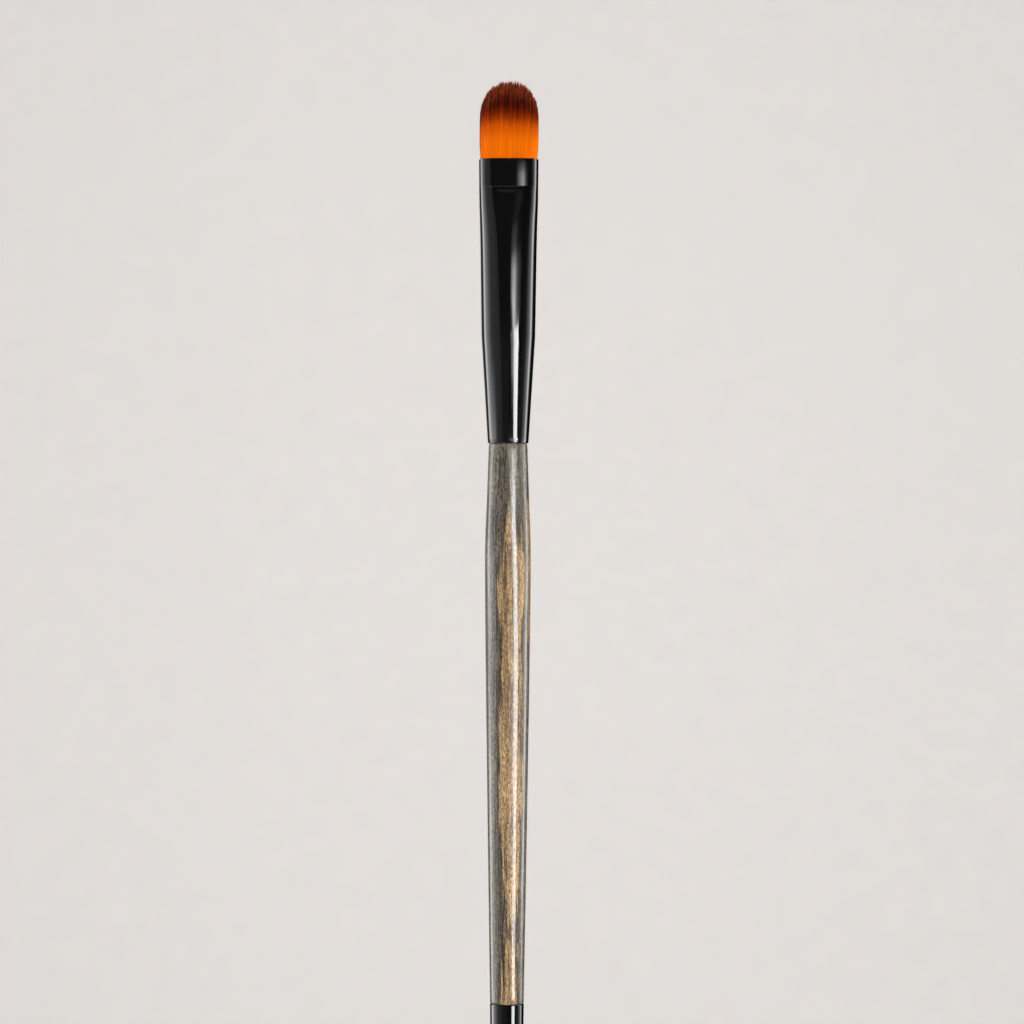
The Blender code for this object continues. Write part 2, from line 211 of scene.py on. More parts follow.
# On the right the flame is wider at both ends of the belly, and a wedge of the grey veneer cuts
# into it between them. This far to the side, that starts and is full.
GREY_WEDGE = [
    (-16, 0), (-9, -0.1), (-5, 0.08), (-1, 0.27), (3.5, 0.32), (6, 0.12), (8.5, -0.12),
    (12, -0.2), (15, 0),
]
WEDGE_SIDE = (0.6, 1.2)

# Soft lamps: the angle round the brush in degrees, distance, place and size along it, width
# across and radiance
LAMPS = [
    ("key_soft", 16.0, 0.4, -0.022, 0.165, 0.129, 21.0),
    ("left_soft", -98.1, 0.354, 0.05, 0.44, 0.38, 1.9),
    ("right_soft", 105.9, 0.364, 0.05, 0.44, 0.22, 2.6),
]

# Bright parts of the lamps' cloths and the black cards, as only the gloss sees them. Each one has
# its radiance by the angle round the brush, in degrees to the right of straight up, its fading
# along Y, and the angle that it is turned by along Y.
EVEN = [(-0.6, 1), (1.6, 1)]
STRAIGHT = [(-0.6, 0), (1.6, 0)]
KEY_TURN = [
    (-0.11, 6.3), (-0.05, 6.2), (-0.027, 5.5), (-0.009, 2.8), (0.003, 0), (0.017, -2.2),
    (0.034, -4.6), (0.055, -7.2), (0.0745, -9.0),
]
KEY_PARTS = [
    # The cloth, which leans over the brush and is brightest at its outer edge
    ([(25.3, 0), (26.6, 12), (29, 18.5), (36, 20.5), (44, 23), (46, 22), (47.6, 0)],
     [(-0.115, 0.95), (-0.105, 0.7), (-0.08, 0.76), (-0.04, 0.95), (-0.01, 1),
      (0.0675, 1), (0.0725, 0)], KEY_TURN),
    # Its outer rim, beside the wood
    ([(46.5, 0), (47.4, 16), (50.0, 13), (51.5, 0)],
     [(-0.07, 0), (-0.055, 1), (-0.0125, 1), (-0.0085, 0)], KEY_TURN),
    # What it spills inwards, beside the wood
    ([(-3, 0.4), (4, 1.2), (12, 2.2), (20, 3.0), (25, 3.8), (27, 0)],
     [(-0.1, 0), (-0.088, 1), (-0.022, 1), (-0.012, 0)], KEY_TURN),
    # What it spills inwards, beside the ferrule
    ([(13, 0), (16, 2.2), (21, 3.8), (25, 6), (27, 0)],
     [(-0.004, 0), (0.003, 0.3), (0.017, 1), (0.0675, 1), (0.0725, 0)], KEY_TURN),
    # What it spills past its end, which the upper body and the flat of the ferrule show
    ([(-1, 0), (1.5, 0.4), (3.5, 1.2), (5, 4), (6.5, 8.5), (8.5, 11.5), (11, 12.4),
      (14, 11), (17, 7), (20, 3.3), (24, 1.4), (29, 0.8), (36, 0.35), (42, 0)],
     [(0.068, 0), (0.073, 0.85), (0.086, 0.98), (0.091, 1), (0.0985, 0.64),
      (0.107, 0.38), (0.112, 0.18), (0.119, 0.08), (0.14, 0.06), (0.165, 0.02),
      (0.28, 0.01)],
     [(0.075, 8.0), (0.09, 4.2), (0.0985, 1.3), (0.107, -0.5), (0.3, -0.5)]),
]
LEFT_PARTS = [
    # The bright lower edge of the cloth
    ([(-130, 0), (-127, 1), (-124, 3.2), (-120.5, 5.6), (-116, 5.6), (-111, 4.6),
      (-108, 3.8), (-104, 0)],
     [(-0.12, 1.2), (-0.06, 1.15), (-0.042, 0.9), (-0.03, 0.5), (-0.012, 0.45),
      (-0.003, 0.8), (0.005, 1)], STRAIGHT),
    # The rest of it, darker the higher it hangs
    ([(-108, 0), (-104, 2.9), (-97, 2.4), (-90.7, 1.9), (-84, 1.3), (-78, 0.85),
      (-72.5, 0.6), (-61.5, 0.5), (-46, 0.47), (-41, 0.38), (-38, 0.26), (-35, 0.15)],
     EVEN, STRAIGHT),
    # The glow of its lamp through it, beside the neck of the handle
    ([(-120, 0), (-114, 2.2), (-109, 3.2), (-103, 2.2), (-95, 2.2), (-88, 2.3),
      (-82, 2.4), (-75, 2.3), (-70, 1.5), (-66, 0.6), (-60, 0)],
     [(-0.2, 0.3), (-0.03, 0.4), (-0.01, 0.8), (0.002, 1), (0.012, 0.45), (0.03, 0)], STRAIGHT),
]
RIGHT_PARTS = [
    # Brightest low down, and beside the wood
    ([(74, 0.1), (80.3, 0.5), (85, 0.9), (90, 1.35), (95, 1.9), (99.7, 2.8),
      (102.5, 3.7), (106, 5.5), (110, 7.0), (113, 6.0), (116, 3.0), (119, 1.2),
      (123, 0.1)],
     [(-0.092, 0.75), (-0.075, 1.35), (-0.02, 1.3), (-0.008, 1.1), (0.005, 1)], STRAIGHT),
]
CARD_PARTS = [
    # Painted sheen: the black card glows dimly in gloss
    ([(-180, 0), (-120, 0), (-95, 0.12), (95, 0.12), (120, 0), (180, 0)],
     [(0.02, 1), (0.10, 0.3), (0.45, 0.3), (0.55, 0)], STRAIGHT),
    # Painted light: the left lamp's light along the edge of the card beside it, as a glow on it
    ([(-36, 0.17), (-33, 0.05), (-30, 0)], EVEN, STRAIGHT),
    # A glowing patch painted far past the head, seen as a dull crescent under the ferrule's ledge
    ([(-12, 0), (-6, 0.2), (8, 0.2), (12, 0)],
     [(0.262, 0), (0.274, 1), (0.34, 1), (0.36, 0)], STRAIGHT),
]
# Cloths and cards: their ends along Y, the key cloth's distance and its edges' angles, and the
# two places across the brush that each other one runs between
CLOTH_REACH = (-0.2, 0.3)
CARD_REACH = (-0.5, 2.6)
KEY_CLOTH_DISTANCE = 0.44
KEY_CLOTH_ANGLES = (4, 60)
LEFT_CLOTH = ((-0.35, -0.36), (-0.35, 0.5))
RIGHT_CLOTH = ((0.35, -0.25), (0.35, 0.10))
CARDS = {
    "card_above": ((-0.325, 0.5), (0.85, 0.5)),
    "card_right": ((0.5, 0.5), (0.5, 0.0)),
    "card_low_right": ((0.35, -0.25), (0.12, -0.62)),
    "card_low_left": ((-0.35, -0.36), (-0.12, -0.62)),
}

# Floor far below the brush, so that no shadow shows on it, and how bright it and the world are:
# to the camera and in gloss, and as light
FLOOR_DEPTH = 0.75
FLOOR_SIZE = 4
FLOOR_GLOW, FLOOR_LIGHT = 0.640, 0.25
WORLD_GLOW, WORLD_LIGHT = 1.0, 0.22

# Camera: a pixel of the photograph's 1024 is 0.15 mm on the brush
SENSOR_WIDTH = 36
CAMERA_DISTANCE = 0.6
VIEW_WIDTH = 1024 * 0.15 * MM
CAMERA_PLACE = (0.6 * MM, 19.475 * MM)
CAMERA_ROLL = math.radians(0.13)

# Points closer together than this are one, and edges bent by more than this stay sharp
MERGE_DISTANCE = 0.002 * MM
SHARP_ANGLE = math.radians(40)

# Sockets of a Mix node that mixes colours
MIX_A, MIX_B, MIXED = 6, 7, 2


def linear(code):
    """Turn an sRGB hex colour into the linear values that Blender works in."""
    parts = [int(code[i:i + 2], 16) / 255 for i in (1, 3, 5)]
    return tuple(p / 12.92 if p <= 0.04045 else ((p + 0.055) / 1.055) ** 2.4 for p in parts)


def length_property(name, description, default, precision=5):
    """A length in metres that a user can change."""
    return bpy.props.FloatProperty(
        name=name, description=description, default=default, unit="LENGTH", precision=precision)


def colour_property(name, description, code):
    """A colour that a user can change, which starts as an sRGB hex colour."""
    return bpy.props.FloatVectorProperty(
        name=name, description=description, default=linear(code), subtype="COLOR", size=3, min=0,
        max=1)


class BrushSizes(bpy.types.PropertyGroup):
    """Sizes that a user would change."""
    strand_spacing: length_property(
        "Strand spacing", "Distance between neighbouring bristles", 0.108 * MM, precision=6)
    strand_radius: length_property(
        "Strand radius", "Radius of a bristle where it leaves the ferrule", 0.056 * MM,
        precision=6)
    tuft_width: length_property("Head width", "Width of the bristles above the ferrule", 8.72 * MM)
    tuft_thickness: length_property(
        "Head thickness", "Thickness of the bristles at the ferrule", 4.25 * MM)
    tip_thickness: length_property("Tip thickness", "Thickness of the head at its tip", 1.45 * MM)
    dome_height: length_property("Dome height", "Height of the round top of the head", 5.2 * MM)
    ferrule_wall: length_property("Ferrule wall", "Thickness of the ferrule's metal", 0.30 * MM)
    neck_diameter: length_property(
        "Neck diameter", "Diameter of the wood at the ferrule", 5.80 * MM)
    belly_diameter: length_property("Belly diameter", "Largest diameter of the wood", 6.88 * MM)
    belly_distance: length_property(
        "Belly distance", "Distance from the ferrule to the widest wood", 18.6 * MM)
    joint_diameter: length_property(
        "Joint diameter", "Diameter of the wood at the end cap", 5.07 * MM)
    cap_diameter: length_property("Cap diameter", "Diameter of the end cap at the wood", 5.09 * MM)
    cap_end_diameter: length_property(
        "Cap end diameter", "Diameter of the end cap where it rounds over", 4.40 * MM)


class BrushColours(bpy.types.PropertyGroup):
    """Colours that a user would change."""
    lacquer: colour_property("Lacquer", "Black lacquer of the ferrule and the cap", "#0B0B0C")
    stain_dark: colour_property("Dark stain", "Darkest grain of the stained wood", "#3A332A")
    stain_light: colour_property("Light stain", "Palest grain of the stained wood", "#7F7666")
    tan_dark: colour_property("Dark tan", "Darkest grain of the unstained layer", "#5E4A36")
    tan_light: colour_property("Light tan", "Palest grain of the unstained layer", "#B8986E")
    floor: colour_property("Floor", "Pale paper that the brush is photographed over", "#E5E1DE")


def set_inputs(node, inputs):
    """Give a node's inputs their values, or link them to the outputs that they come from."""
    for key, value in inputs.items():
        if isinstance(value, bpy.types.NodeSocket):
            node.id_data.links.new(value, node.inputs[key])
        else:
            node.inputs[key].default_value = value


def add_node(tree, kind, inputs=None, stops=None, **settings):
    """Add a shader node with its settings, its inputs, and the stops of a ramp."""
    made = tree.nodes.new("ShaderNode" + kind)
    for name, value in settings.items():
        setattr(made, name, value)
    set_inputs(made, inputs or {})
    if stops:
        elements = made.color_ramp.elements
        while len(elements) < len(stops):
            elements.new(1)
        for element, (place, colour) in zip(elements, stops):
            element.position = place
            element.color = (*colour, 1)
    return made


def start_material(name):
    """A material with only its Principled shader, and the tree that it is in."""
    material = bpy.data.materials.new(name)
    material.use_nodes = True
    return material, material.node_tree, material.node_tree.nodes["Principled BSDF"]


def grain(tree, size, detail=2.0, roughness=0.5):
    """Noise whose grains have a real size in millimetres along X, Y and Z."""
    place = add_node(tree, "TexCoord").outputs["Object"]
    scale = [1 / (part * MM) for part in size]
    spread = add_node(tree, "Mapping", {"Vector": place, "Scale": scale})
    made = add_node(tree, "TexNoise", {
        "Vector": spread.outputs["Vector"], "Scale": 1.0, "Detail": detail,
        "Roughness": roughness})
    return made.outputs["Fac"]


def read_table(tree, value, table):
    """Turn a value into another one by a short table, with straight lines between its rows."""
    (low, _), (high, _) = table[0], table[-1]
    levels = [level for _, level in table]
    least = min(levels)
    smallest_span = 0.001
    span = max(max(levels) - least, smallest_span)
    share = add_node(tree, "MapRange", {"Value": value, "From Min": low, "From Max": high})
    stops = [((at - low) / (high - low), ((level - least) / span,) * 3) for at, level in table]
    ramp = add_node(tree, "ValToRGB", {"Fac": share.outputs["Result"]}, stops)
    return add_node(tree, "Math", {
        0: ramp.outputs["Color"], 1: span, 2: least}, operation="MULTIPLY_ADD").outputs["Value"]


def looked_at(tree):
    """1 for rays from the camera, in gloss and through glass, and 0 for those that give light."""
    path = add_node(tree, "LightPath")
    seen = add_node(tree, "Math", {
        0: path.outputs["Is Camera Ray"], 1: path.outputs["Is Glossy Ray"]}, operation="MAXIMUM")
    return add_node(tree, "Math", {
        0: seen.outputs["Value"], 1: path.outputs["Is Transmission Ray"]},
        operation="MAXIMUM").outputs["Value"]


def bristle_material():
    """Taklon, a drawn and tapered polyester filament, with its tips dipped in dye.

    Satin, clear orange below and dark red-brown at the tips, whose finest ends get a painted glow.
    """
    material, tree, shader = start_material("Taklon filament, dip-dyed")
    height = add_node(tree, "Attribute", attribute_name="dye_height").outputs["Fac"]
    tone = add_node(tree, "Attribute", attribute_name="strand_tone").outputs["Fac"]
    top, _ = BRISTLE_DYE[-1]
    share = add_node(tree, "MapRange", {"Value": height, "From Max": top})
    stops = [(place / top, linear(code)) for place, code in BRISTLE_DYE]
    dye = add_node(tree, "ValToRGB", {"Fac": share.outputs["Result"]}, stops)
    # The dye takes unevenly, so dipped strands differ more than the clear orange below them
    spread = add_node(tree, "MapRange", {
        "Value": height, "From Min": 5.0, "From Max": 7.5, "To Min": 0.2, "To Max": 1.8})
    middle_tone, plain = 0.5, 1.0
    off = add_node(tree, "Math", {0: tone, 1: middle_tone}, operation="SUBTRACT")
    bright = add_node(tree, "Math", {
        0: off.outputs["Value"], 1: spread.outputs["Result"], 2: plain}, operation="MULTIPLY_ADD")
    shade = add_node(tree, "VectorMath", {
        0: dye.outputs["Color"], "Scale": bright.outputs["Value"]}, operation="SCALE")
    # Painted glow: light comes through the last, finest millimetre, so it is painted paler
    near = add_node(tree, "Attribute", attribute_name="painted_tip_glow").outputs["Fac"]
    tip_glow = add_node(tree, "Mix", {
        0: near, MIX_A: shade.outputs["Vector"], MIX_B: (*linear("#B9532F"), 1)}, data_type="RGBA")
    set_inputs(shader, {
        "Base Color": tip_glow.outputs[MIXED], "Roughness": 0.38, "IOR": 1.55,
        "Specular IOR Level": 0.16, "Specular Tint": (*linear("#FFB066"), 1)})
    return material


def lacquer_material(name, colour):
    """Gloss black lacquer, sprayed and baked on drawn aluminium.

    Mirror-like, with the faint ripple that sprayed lacquer dries to.
    """
    material, tree, shader = start_material(name)
    ripple = grain(tree, (1.6, 2.4, 1.6), 1.0)
    dust = grain(tree, (0.35, 0.35, 0.35), 3.0)
    darker, paler = ([share * part for part in colour] for share in (0.8, 1.3))
    tint = add_node(tree, "Mix", {
        0: dust, MIX_A: (*darker, 1), MIX_B: (*paler, 1)}, data_type="RGBA")
    rough = add_node(tree, "MapRange", {"Value": dust, "To Min": 0.035, "To Max": 0.09})
    bump = add_node(tree, "Bump", {"Height": ripple, "Strength": 0.10, "Distance": 0.02 * MM})
    set_inputs(shader, {
        "Base Color": tint.outputs[MIXED], "Roughness": rough.outputs["Result"],
        "Normal": bump.outputs["Normal"], "IOR": 1.5})
    return material


def wood_material(colours):
    """Birch ply of stained and unstained veneers, turned, grained and lacquered clear.

    Where the turning cuts through a grey layer, the tan one below shows as a long flame. Fine
    fibres run along the handle, with short dark pores, all under a gloss coat.
    """
    material, tree, shader = start_material("Stained ply, turned and clear lacquered")
    place = add_node(tree, "TexCoord").outputs["Object"]
    from_axis = add_node(tree, "Mapping", {
        "Vector": place, "Scale": (1 / MM,) * 3, "Location": (0, 0, -AXIS_HEIGHT / MM)})
    turned = add_node(tree, "Mapping", {
        "Vector": from_axis.outputs["Vector"], "Rotation": (0, VENEER_TURN, 0)})
    parts = add_node(tree, "SeparateXYZ", {"Vector": turned.outputs["Vector"]})
    side, along = parts.outputs["X"], parts.outputs["Y"]
    depth = add_node(tree, "Math", {0: parts.outputs["Z"]}, operation="ABSOLUTE")
    fibre = grain(tree, (0.22, 5.0, 0.22), 3.0, 0.6)
    streak = grain(tree, (0.75, 16.0, 0.75), 2.0)
    figure = add_node(tree, "Math", {0: fibre, 1: streak}).outputs["Value"]
    speck = grain(tree, (0.18, 0.50, 0.18), 2.0, 0.7)
    pore = grain(tree, (0.13, 0.9, 0.13), 1.0)

    # How far out of the grey veneer the surface lies, with a ragged edge that follows the figure
    on_right = add_node(tree, "MapRange", {
        "Value": side, "From Min": WEDGE_SIDE[0], "From Max": WEDGE_SIDE[1]},
        interpolation_type="SMOOTHSTEP")
    reach = add_node(tree, "Math", {
        0: read_table(tree, along, GREY_WEDGE), 1: on_right.outputs["Result"],
        2: read_table(tree, along, GREY_REACH)}, operation="MULTIPLY_ADD")
    past_plane = add_node(tree, "Math", {
        0: depth.outputs["Value"], 1: reach.outputs["Value"]}, operation="SUBTRACT")
    past_side = add_node(tree, "Math", {
        0: side, 1: read_table(tree, along, GREY_SIDE_REACH)}, operation="SUBTRACT")
    above = add_node(tree, "Math", {
        0: past_plane.outputs["Value"], 1: past_side.outputs["Value"]}, operation="MAXIMUM")
    mean_figure = 1.0
    ragged = add_node(tree, "Math", {0: figure, 1: mean_figure}, operation="SUBTRACT")
    edge = add_node(tree, "Math", {0: above.outputs["Value"], 1: ragged.outputs["Value"]})
    flame = add_node(tree, "MapRange", {
        "Value": edge.outputs["Value"], "From Min": -0.12, "From Max": 0.14},
        interpolation_type="SMOOTHSTEP")

    grey_tone = add_node(tree, "MapRange", {"Value": fibre, "From Min": 0.38, "From Max": 0.65})
    grey = add_node(tree, "Mix", {
        0: grey_tone.outputs["Result"], MIX_A: (*colours.stain_dark, 1),
        MIX_B: (*colours.stain_light, 1)}, data_type="RGBA")
    tan_tone = add_node(tree, "MapRange", {"Value": figure, "From Min": 0.78, "From Max": 1.16})
    tan = add_node(tree, "Mix", {
        0: tan_tone.outputs["Result"], MIX_A: (*colours.tan_dark, 1),
        MIX_B: (*colours.tan_light, 1)}, data_type="RGBA")
    layers = add_node(tree, "Mix", {
        0: flame.outputs["Result"], MIX_A: grey.outputs[MIXED],
        MIX_B: tan.outputs[MIXED]}, data_type="RGBA")
    specks = add_node(tree, "MapRange", {
        "Value": speck, "From Min": 0.34, "From Max": 0.66, "To Min": 0.38, "To Max": 1.62})
    pores = add_node(tree, "MapRange", {
        "Value": pore, "From Min": 0.56, "From Max": 0.66, "To Min": 1.0, "To Max": 0.42})
    marks = add_node(tree, "Math", {
        0: specks.outputs["Result"], 1: pores.outputs["Result"]}, operation="MULTIPLY")
    # The glue between two layers shows as a thin dark line at the edge of the flame
    rim = add_node(tree, "MapRange", {
        "Value": edge.outputs["Value"], "From Min": -0.36, "From Max": -0.10},
        interpolation_type="SMOOTHSTEP")
    glue = add_node(tree, "Math", {
        0: flame.outputs["Result"], 1: rim.outputs["Result"]}, operation="SUBTRACT")
    glue_darkness, plain = 0.45, 1.0
    lined = add_node(tree, "Math", {
        0: glue.outputs["Value"], 1: glue_darkness, 2: plain}, operation="MULTIPLY_ADD")
    toned = add_node(tree, "Math", {
        0: marks.outputs["Value"], 1: lined.outputs["Value"]}, operation="MULTIPLY")
    colour = add_node(tree, "VectorMath", {
        0: layers.outputs[MIXED], "Scale": toned.outputs["Value"]}, operation="SCALE")
    # The lacquer sinks into the grain, most where it is thin at the ferrule
    sunk = add_node(tree, "MapRange", {
        "Value": along, "From Min": 18.0, "From Max": 27.0, "To Min": 0.05, "To Max": 0.42})
    bump = add_node(tree, "Bump", {
        "Height": marks.outputs["Value"], "Strength": sunk.outputs["Result"],
        "Distance": 0.02 * MM})
    set_inputs(shader, {
        "Base Color": colour.outputs["Vector"], "Coat Normal": bump.outputs["Normal"],
        "Roughness": 0.55, "IOR": 1.5, "Specular IOR Level": 0.25, "Coat Weight": 0.75,
        "Coat Roughness": 0.10, "Coat IOR": 1.5})
    return material


def thread_material():
    """White cotton thread, twisted from two plies and left matte."""
    material, tree, shader = start_material("Cotton thread, twisted")
    place = add_node(tree, "TexCoord").outputs["Object"]
    ply_spacing = 0.4 * MM
    once_per_unit = 0.314
    spread = add_node(tree, "Mapping", {
        "Vector": place, "Scale": (1 / ply_spacing,) * 3, "Rotation": (0, 0, math.radians(55))})
    twist = add_node(tree, "TexWave", {
        "Vector": spread.outputs["Vector"], "Scale": once_per_unit, "Distortion": 0.6})
    fuzz = grain(tree, (0.08, 0.08, 0.08), 2.0)
    # Painted shade darkens the grooves of the twist; the fuzz varies the tone at random
    groove_shade_and_fuzz = add_node(tree, "Math", {0: twist.outputs["Fac"], 1: fuzz}, operation="MULTIPLY")
    colour = add_node(tree, "Mix", {
        0: groove_shade_and_fuzz.outputs["Value"], MIX_A: (*linear("#B9B3A6"), 1),
        MIX_B: (*linear("#F1EEE6"), 1)}, data_type="RGBA")
    bump = add_node(tree, "Bump", {
        "Height": twist.outputs["Fac"], "Strength": 0.6, "Distance": 0.05 * MM})
    set_inputs(shader, {
        "Base Color": colour.outputs[MIXED], "Normal": bump.outputs["Normal"],
        "Roughness": 0.85})
    return material


def cured_material(name, low, high, roughness):
    """Resin or glue poured in and left to cure: cloudy, with small bubbles in its skin."""
    material, tree, shader = start_material(name)
    cloud = grain(tree, (1.2, 1.8, 1.2), 3.0)
    bubble = grain(tree, (0.2, 0.2, 0.2), 1.0)
    colour = add_node(tree, "Mix", {
        0: cloud, MIX_A: (*linear(low), 1), MIX_B: (*linear(high), 1)}, data_type="RGBA")
    bump = add_node(tree, "Bump", {"Height": bubble, "Strength": 0.3, "Distance": 0.04 * MM})
    set_inputs(shader, {
        "Base Color": colour.outputs[MIXED], "Normal": bump.outputs["Normal"],
        "Roughness": roughness, "IOR": 1.55})
    return material


def floor_material(colour):
    """Glowing matte backdrop paper, with a painted pool of light and the faint mottling of its
    pulp.
    """
    material, tree, shader = start_material("Background paper, matte")
    cloud = grain(tree, (8.0, 6.0, 8.0), 3.0)
    pulp = grain(tree, (1.1, 0.8, 1.1), 2.0)
    mottling, darkest = 0.07, 0.93
    mottle = add_node(tree, "Math", {
        0: add_node(tree, "Math", {0: cloud, 1: pulp}).outputs["Value"],
        1: mottling, 2: darkest}, operation="MULTIPLY_ADD")
    # The pool of light under the camera fades by a fortieth to the corners of the picture
    place = add_node(tree, "TexCoord").outputs["Object"]
    pool = add_node(tree, "Mapping", {"Vector": place, "Scale": (0.50, 0.77, 0)})
    away = add_node(tree, "VectorMath", {
        0: pool.outputs["Vector"], 1: pool.outputs["Vector"]}, operation="DOT_PRODUCT")
    fall = add_node(tree, "MapRange", {
        "Value": away.outputs["Value"], "From Max": 0.17, "To Min": 1.0, "To Max": 0.83})
    level = add_node(tree, "Math", {
        0: mottle.outputs["Value"], 1: fall.outputs["Result"]}, operation="MULTIPLY")
    paper = add_node(tree, "VectorMath", {
        0: colour, "Scale": level.outputs["Value"]}, operation="SCALE")
    glow = add_node(tree, "MapRange", {
        "Value": looked_at(tree), "To Min": FLOOR_LIGHT, "To Max": FLOOR_GLOW})
    set_inputs(shader, {
        "Base Color": paper.outputs["Vector"], "Emission Color": paper.outputs["Vector"],
        "Emission Strength": glow.outputs["Result"], "Roughness": 0.9,
        "Specular IOR Level": 0.0})
    return material


def lamp_material(name, parts):
    """A lamp's cloth, or black card, as gloss shows it: the sum of its bright parts."""
    material, tree, shader = start_material(name)
    place = add_node(tree, "TexCoord").outputs["Object"]
    axis = add_node(tree, "SeparateXYZ", {"Vector": place})
    up = add_node(tree, "Math", {0: axis.outputs["Z"], 1: AXIS_HEIGHT}, operation="SUBTRACT")
    around = add_node(tree, "Math", {
        0: axis.outputs["X"], 1: up.outputs["Value"]}, operation="ARCTAN2")
    angle = add_node(tree, "Math", {0: around.outputs["Value"]}, operation="DEGREES")
    total = 0.0
    for bands, fade, turn in parts:
        leaned = add_node(tree, "Math", {
            0: angle.outputs["Value"], 1: read_table(tree, axis.outputs["Y"], turn)},
            operation="SUBTRACT")
        total = add_node(tree, "Math", {
            0: read_table(tree, leaned.outputs["Value"], bands),
            1: read_table(tree, axis.outputs["Y"], fade), 2: total},
            operation="MULTIPLY_ADD").outputs["Value"]
    set_inputs(shader, {
        "Base Color": (0, 0, 0, 1), "Specular IOR Level": 0, "Emission Color": total,
        "Emission Strength": 1})
    return material


def clamp(value):
    """Keep a share from 0 to 1."""
    return min(max(value, 0), 1)


def smooth_value(table, place, column=1):
    """Read a table at any place, along a smooth line that doesn't overshoot its points."""
    places = [row[0] for row in table]
    values = [row[column] for row in table]
    place = min(max(place, places[0]), places[-1])
    here = max(i for i in range(len(places) - 1) if places[i] <= place)
    slopes = [(b - a) / (q - p) for a, b, p, q in zip(values, values[1:], places, places[1:])]
    ends = []
    for point in (here, here + 1):
        before = slopes[max(point - 1, 0)]
        after = slopes[min(point, len(slopes) - 1)]
        ends.append(2 * before * after / (before + after) if before * after > 0 else 0.0)
    run = places[here + 1] - places[here]
    t = (place - places[here]) / run
    return (values[here] * (2 * t ** 3 - 3 * t ** 2 + 1)
            + values[here + 1] * (3 * t ** 2 - 2 * t ** 3)
            + run * ends[0] * (t ** 3 - 2 * t ** 2 + t)
            + run * ends[1] * (t ** 3 - t ** 2))


def turn_outline(outline, sides, closed):
    """Spin an outline of places and radii round the brush's axis."""
    bm = bmesh.new()
    verts = [bm.verts.new((radius, y, 0)) for y, radius in outline]
    pairs = list(zip(verts, verts[1:])) + ([(verts[-1], verts[0])] if closed else [])
    edges = [bm.edges.new(pair) for pair in pairs]
    bmesh.ops.spin(bm, geom=verts + edges, cent=(0, 0, 0), axis=(0, 1, 0), dvec=(0, 0, 0),
                   angle=math.tau, steps=sides, use_merge=True, use_duplicate=False)
    bmesh.ops.remove_doubles(bm, verts=bm.verts, dist=MERGE_DISTANCE)
    return bm


def press_flat(bm, stations):
    """Press a round tube to half widths and half thicknesses, with a slight crown left on it.

    The press spreads the metal most where it faces up or down, and less and less round the
    sides, so the flats run into the sides without an edge.
    """
    on_axis = 0.01 * MM
    for vert in bm.verts:
        radius = math.hypot(vert.co.x, vert.co.z)
        if radius < on_axis:
            continue
        down = MOUTH_Y - vert.co.y
        blend = clamp((down - FLAT_LENGTH) / BLEND_LENGTH)
        fall = 1 / (FLAT_CROWN + (BODY_CROWN - FLAT_CROWN) * blend)
        share = fall / (fall ** 2 + 1)
        top, side = share, share * fall
        width, thick = smooth_value(stations, down, 1), smooth_value(stations, down, 2)
        spread = (width - thick) / (side - top)
        turn = math.atan2(abs(vert.co.x), abs(vert.co.z)) / (math.pi / 2)
        turn = math.pi / 2 * turn ** CROWDING
        left = math.exp(-turn * fall)
        out = share * (fall - left * (fall * math.cos(turn) - math.sin(turn)))
        up = share * left * (fall * math.sin(turn) + math.cos(turn))
        core = radius - spread * top
        vert.co.x = math.copysign(core * math.sin(turn) + spread * out, vert.co.x)
        vert.co.z = math.copysign(core * math.cos(turn) + spread * up, vert.co.z)


def add_object(name, bm, material):
    """Put a bmesh into the scene, as an object at the origin."""
    mesh = bpy.data.meshes.new(name)
    bm.to_mesh(mesh)
    bm.free()
    mesh.materials.append(material)
    made = bpy.data.objects.new(name, mesh)
    bpy.context.collection.objects.link(made)
    return made


def add_piece(name, bm, material, node):
    """Make a bmesh a piece of the brush, on the axis, in place of its CAD solid."""
    bmesh.ops.translate(bm, verts=bm.verts, vec=(0, 0, AXIS_HEIGHT))
    bmesh.ops.recalc_face_normals(bm, faces=bm.faces)
    piece = add_object(name, bm, material)
    piece.data.shade_smooth()
    piece.data.set_sharp_from_angle(angle=SHARP_ANGLE)
    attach(piece, "root")
    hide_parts(node)


def rounded_lip(y, outer, inner, way, steps=5):
    """Points over the half-round edge of a wall, from its outside to its inside."""
    middle, half = (outer + inner) / 2, (outer - inner) / 2
    return [(y - way * half + way * half * math.sin(math.pi * step / steps),
             middle + half * math.cos(math.pi * step / steps)) for step in range(steps + 1)]


def strand_homes(sizes, rng):
    """Places of the bristles across the mouth, in staggered rows that are a little disturbed."""
    spacing = sizes.strand_spacing
    half_width, half_thickness = sizes.tuft_width / 2, sizes.tuft_thickness / 2
    row_gap = spacing * math.sqrt(3) / 2
    rows = int(half_thickness / row_gap)
    homes = []
    for row in range(-rows, rows + 1):
        z = row * row_gap
        reach = half_width - half_thickness + math.sqrt(half_thickness ** 2 - z ** 2)
        shift = spacing / 2 if row % 2 else 0
        columns = int(reach / spacing) + 1
        for column in range(-columns, columns + 1):
            x = column * spacing + shift
            if abs(x) <= reach:
                jitter = [rng.uniform(-PLACE_SCATTER, PLACE_SCATTER) * spacing for _ in range(2)]
                homes.append((x + jitter[0], z + jitter[1]))
    return homes


